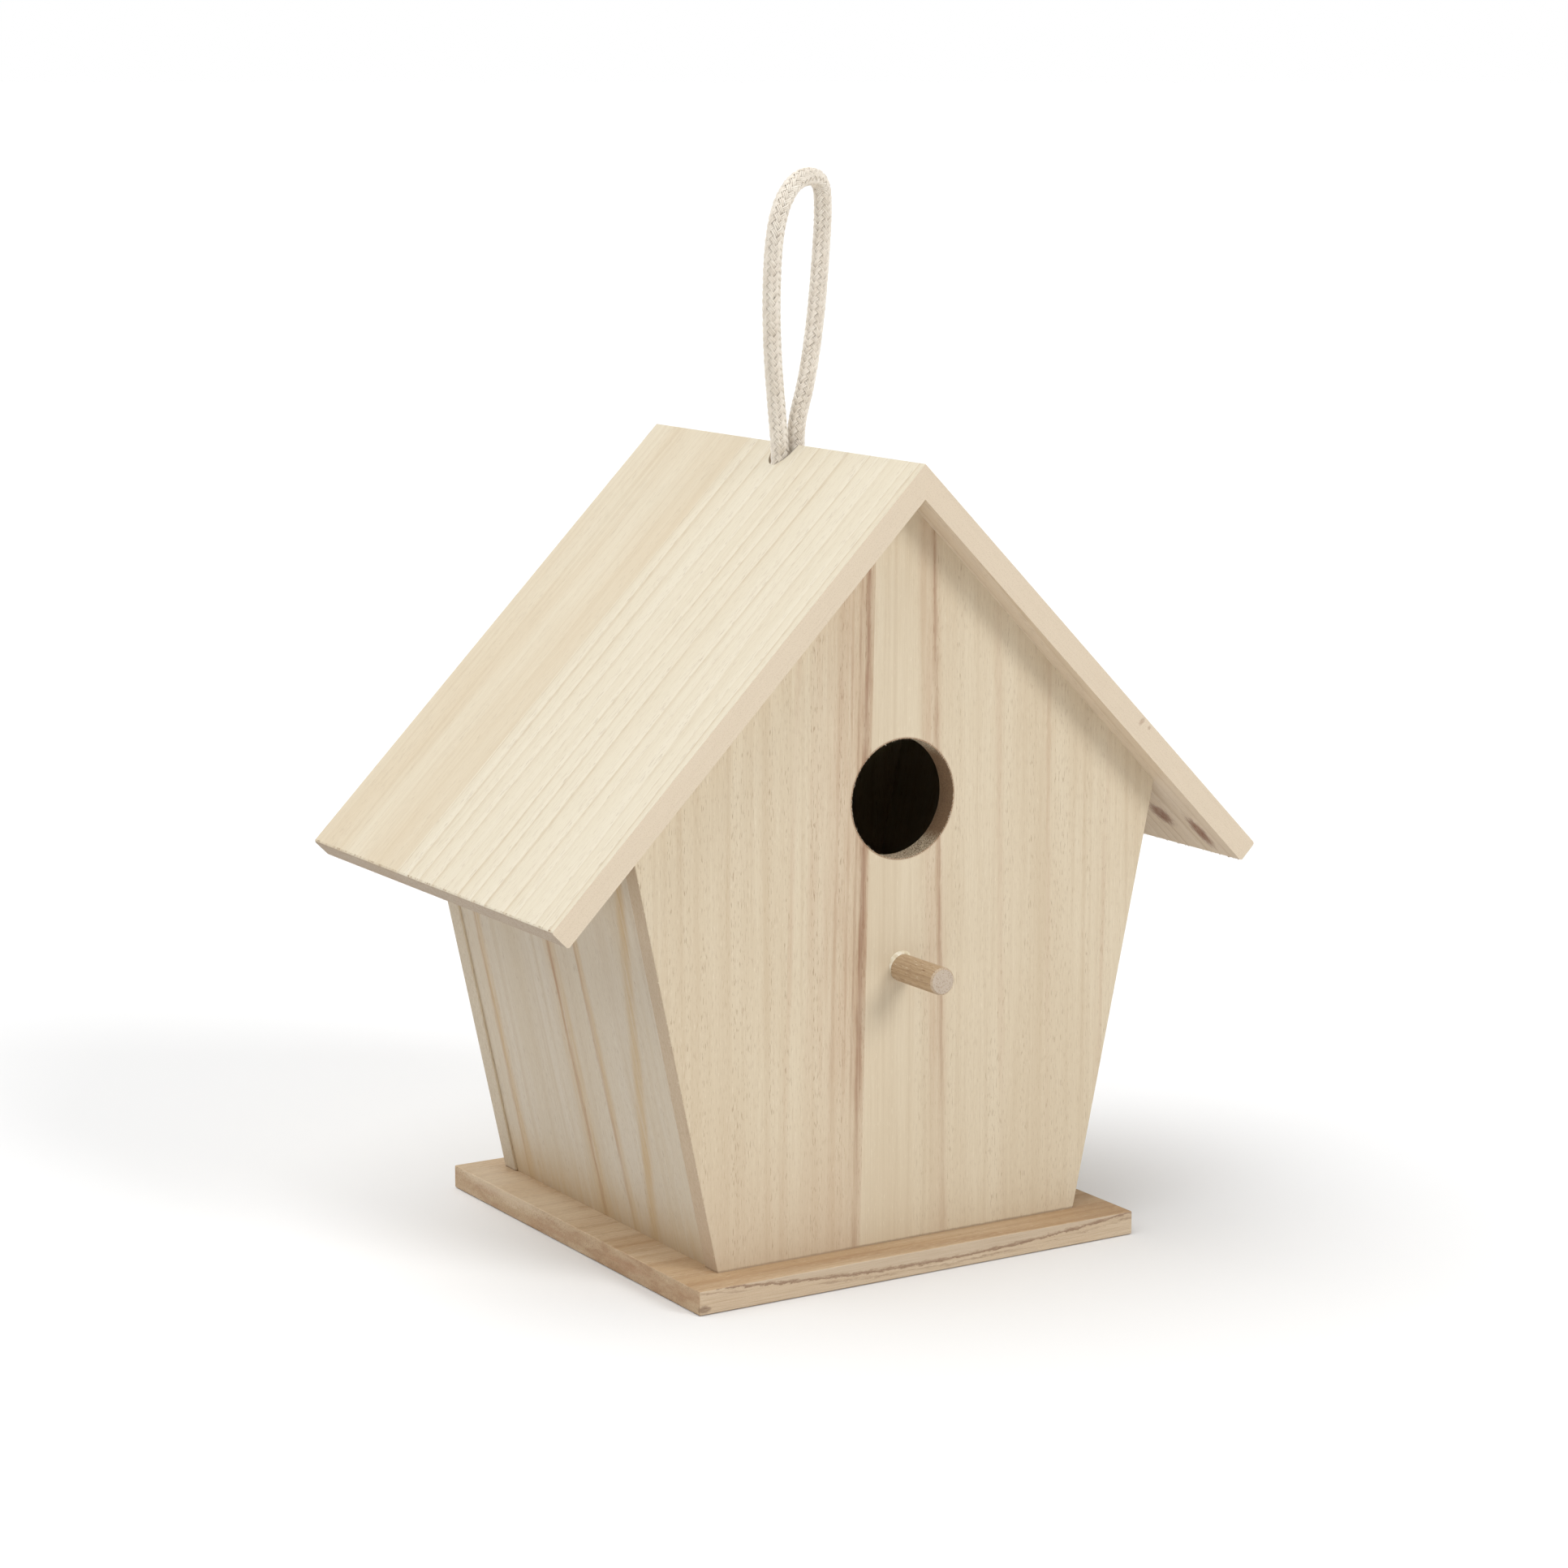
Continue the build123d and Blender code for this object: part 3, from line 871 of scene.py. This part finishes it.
roof_left_front_wood = plank(
    "roof_left_front_wood", Y, down_left, ROOF_CREAM, ROOF_CREAM_DEEP, ROOF_LINE,
    ring=8.0, lean=-0.5, lines=0.46, thin=0.10, pores=0.33, patches=0.4, shift=4.0, end_colour=ROOF_END,
    edge_colour=ROOF_SAWN, edge_grain=0.15, bright=ROOF_WHITE, figure=0.12,
)
roof_left_rear_wood = plank(
    "roof_left_rear_wood", Y, down_left, ROOF_TAN, ROOF_TAN_DEEP, ROOF_LINE,
    ring=8.0, lean=0.4, lines=0.2, thin=0.2, pores=0.22, patches=0.8, shift=5.0, end_colour=ROOF_END,
    figure=0.2,
    streaks=[(24.0, 0.0, 18.0, 0.55, ROOF_TAN_DEEP)],
)
roof_right_front_wood = plank(
    "roof_right_front_wood", Y, down_right, ROOF_ROSY, ROOF_ROSY_DEEP, ROOF_LINE,
    ring=6.0, lean=0.3, lines=0.6, thin=0.13, pores=0.35, patches=0.4, shift=6.0, end_colour=ROOF_END,
    edge_colour=ROOF_SAWN, edge_grain=0.15, bright=ROOF_ROSY_WHITE, figure=0.15,
    spots=[
        ((102.5, -49.0, 120.1), (4.6, 5.6, 4.0), 1.0, KNOT_BROWN),
        ((106.0, -63.6, 116.6), (3.4, 8.0, 4.0), 1.0, KNOT_BROWN),
        ((76.2, -73.5, 154.1), (3.0, 0.9, 1.5), 0.4, KNOT_BROWN),
        ((78.9, -73.5, 151.9), (3.0, 0.6, 0.8), 0.4, KNOT_BROWN),
    ],
)
roof_right_rear_wood = plank(
    "roof_right_rear_wood", Y, down_right, ROOF_TAN, ROOF_TAN_DEEP, ROOF_LINE,
    ring=5.5, lean=-0.4, lines=0.5, thin=0.15, pores=0.35, patches=0.6, shift=8.0, end_colour=ROOF_END,
)
dress("roof_left_front_stave", roof_left_front_wood)
dress("roof_left_rear_stave", roof_left_rear_wood)
dress("roof_right_front_stave", roof_right_front_wood)
dress("roof_right_rear_stave", roof_right_rear_wood)
eave_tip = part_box("roof_left_front_stave")[0].x
eave_height = ridge_height + eave_tip * math.tan(pitch)
roof_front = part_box("roof_left_front_stave")[0].y
roof_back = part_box("roof_left_rear_stave")[1].y
tan_fibres = fibre_finish("torn_tan_fibres", tint(202, 186, 162), tint(168, 146, 122))
EAVE_FIBRES = 420
eave_dice = random.Random(31)
eave_roots = []
for number in range(EAVE_FIBRES):
    left = number % 2 == 0
    down = down_left if left else down_right
    into_board = Vector((math.sin(pitch) * (1 if left else -1), 0.0, -math.cos(pitch)))
    tip = Vector((eave_tip if left else -eave_tip, eave_dice.uniform(roof_front, roof_back), eave_height))
    if eave_dice.random() < 0.4:
        tip = tip + into_board * BOARD * MM
    lean = down + into_board * eave_dice.uniform(-0.5, 0.5) + Y * eave_dice.uniform(-0.6, 0.6)
    eave_roots.append((tip, lean, eave_dice.uniform(0.35, 0.9) * MM, eave_dice.uniform(0.05, 0.14) * MM))
eave_fibres = splinters("eave_fibres", eave_roots, tan_fibres, 32)
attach(eave_fibres, "root")

# ---------------------------------------------------------------- base board
# One flat board, nailed on from below, that stands out past the walls. It is warmer and more figured
# than they are, with its grain from left to right, sawn ends and ragged dark growth lines.
BASE_TAN = tint(204, 183, 154)
BASE_DEEP = tint(180, 148, 110)
BASE_LINE = tint(150, 112, 76)
BASE_RED = tint(160, 118, 86)
# A pale colour, used only as painted light on the base's top to the left of the wall.
BASE_PAINTED_LIGHT = tint(220, 204, 178)
base_wood = plank(
    "base_wood", Y, X, BASE_TAN, BASE_DEEP, BASE_LINE,
    ring=12.0, lean=1.2, lines=0.55, thin=0.3, sway=22.0, pores=0.55, patches=0.9, shift=9.0,
    end_blotch=tint(150, 108, 72),
    end_colour=tint(182, 156, 124), edge_colour=tint(201, 182, 156),
    edge_vein=(2.9, 5.0, 0.00078, 1.1, 0.8, tint(128, 98, 74), tint(182, 166, 146)),
    spots=[
        ((-73.0, -75.0, 1.6), (1.6, 2.6, 1.2), 0.8, tint(104, 74, 52)),
        ((-74.5, -34.0, 3.6), (13.0, 3.0, 1.5), 0.5, BASE_RED),
        ((-74.5, 12.0, 2.4), (18.0, 3.0, 1.1), 0.45, BASE_RED),
        ((-74.5, 52.0, 4.6), (9.0, 3.0, 1.4), 0.4, BASE_RED),
        # Painted light: a pale patch on the base's top strip left of the wall, lightening it where the wall
        # and the eave shade it.
        ((-70.0, 40.0, 7.0), (38.0, 10.0, 4.0), 0.6, BASE_PAINTED_LIGHT),
    ],
)
dress("base_board", base_wood)

# ---------------------------------------------------------------- perch
# A short beech dowel glued into the front panel: darker than the wall, with fine dark flecks along
# it and a rough pale sawn end. A thin ring of dried glue shows round its root.
perch_wood = plank(
    "perch_wood", X, Y, tint(199, 176, 146), tint(172, 144, 109), tint(134, 103, 74),
    ring=1.6, lean=0.8, lines=0.6, pores=1.0, patches=0.6, shift=13.0, end_colour=tint(189, 176, 161),
)
dress("perch_dowel", perch_wood)
dowel_low, dowel_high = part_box("perch_dowel")
dowel_radius = (dowel_high.x - dowel_low.x) / 2
dowel_root = Vector(((dowel_high.x + dowel_low.x) / 2, front_face, (dowel_high.z + dowel_low.z) / 2))
glue_points = []
glue_faces = []
GLUE_PARTS = 72
glue_profile = [(0.0, 0.3), (0.0, -1.0), (0.16, -1.0), (0.45, -0.62), (0.75, -0.32), (1.0, -0.08), (1.0, 0.3)]
for part in range(GLUE_PARTS):
    angle = 2 * math.pi * part / GLUE_PARTS
    outward = Vector((math.cos(angle), 0.0, math.sin(angle)))
    unevenness = noise.noise((math.cos(angle) * 1.6, math.sin(angle) * 1.6, 4.2))
    crest = max(0.0, math.sin(angle - 0.3)) ** 1.5
    breadth = (0.20 + 0.95 * crest + 0.3 * unevenness) * MM
    tall = (0.25 + 0.5 * crest + 0.2 * unevenness) * MM
    for out, stand in glue_profile:
        glue_points.append(
            dowel_root + outward * (dowel_radius - 0.06 * MM + breadth * out) + Y * (stand * tall)
        )
ring_size = len(glue_profile)
for part in range(GLUE_PARTS):
    for step in range(ring_size):
        this_step = part * ring_size + step
        next_step = part * ring_size + (step + 1) % ring_size
        over = ((part + 1) % GLUE_PARTS - part) * ring_size
        glue_faces.append((this_step, next_step, next_step + over, this_step + over))
dried_glue, glue_surface, glue = finish("dried_glue", roughness=0.4, Coat_Weight=0.15)
glue_marks = glue.node("ShaderNodeTexCoord", out=3).stretched(1000, 1000, 1000).mottle(0.8, 3.0, 0.6)
feed(
    glue_surface,
    glue_marks.rise(0.3, 0.7).blend(tint(230, 222, 202), tint(206, 190, 158)),
    glue_marks.rise(0.2, 0.8, 0.25) + 0.3,
    glue_marks,
    0.00008,
)
glue_ring = mesh_piece("perch_glue_ring", glue_points, glue_faces, dried_glue)
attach(glue_ring, "root")

# ---------------------------------------------------------------- brads
# Eight fine steel brads driven up through the base board into the walls, their heads just under
# its lower face.
brad_steel, brad_surface, brad = finish("brad_steel", 0.35, Metallic=1.0)
brad_place = brad.node("ShaderNodeTexCoord", out=3).stretched(1000, 1000, 1000)
brad_marks = brad_place.mottle(3.0, 3.0, 0.6)
feed(
    brad_surface,
    brad_marks.rise(0.3, 0.7).blend(tint(150, 150, 152), tint(196, 196, 198)),
    brad_marks.rise(0.2, 0.8, 0.3) + 0.25,
    brad_marks,
    0.00003,
)
dress("base_brads", brad_steel)
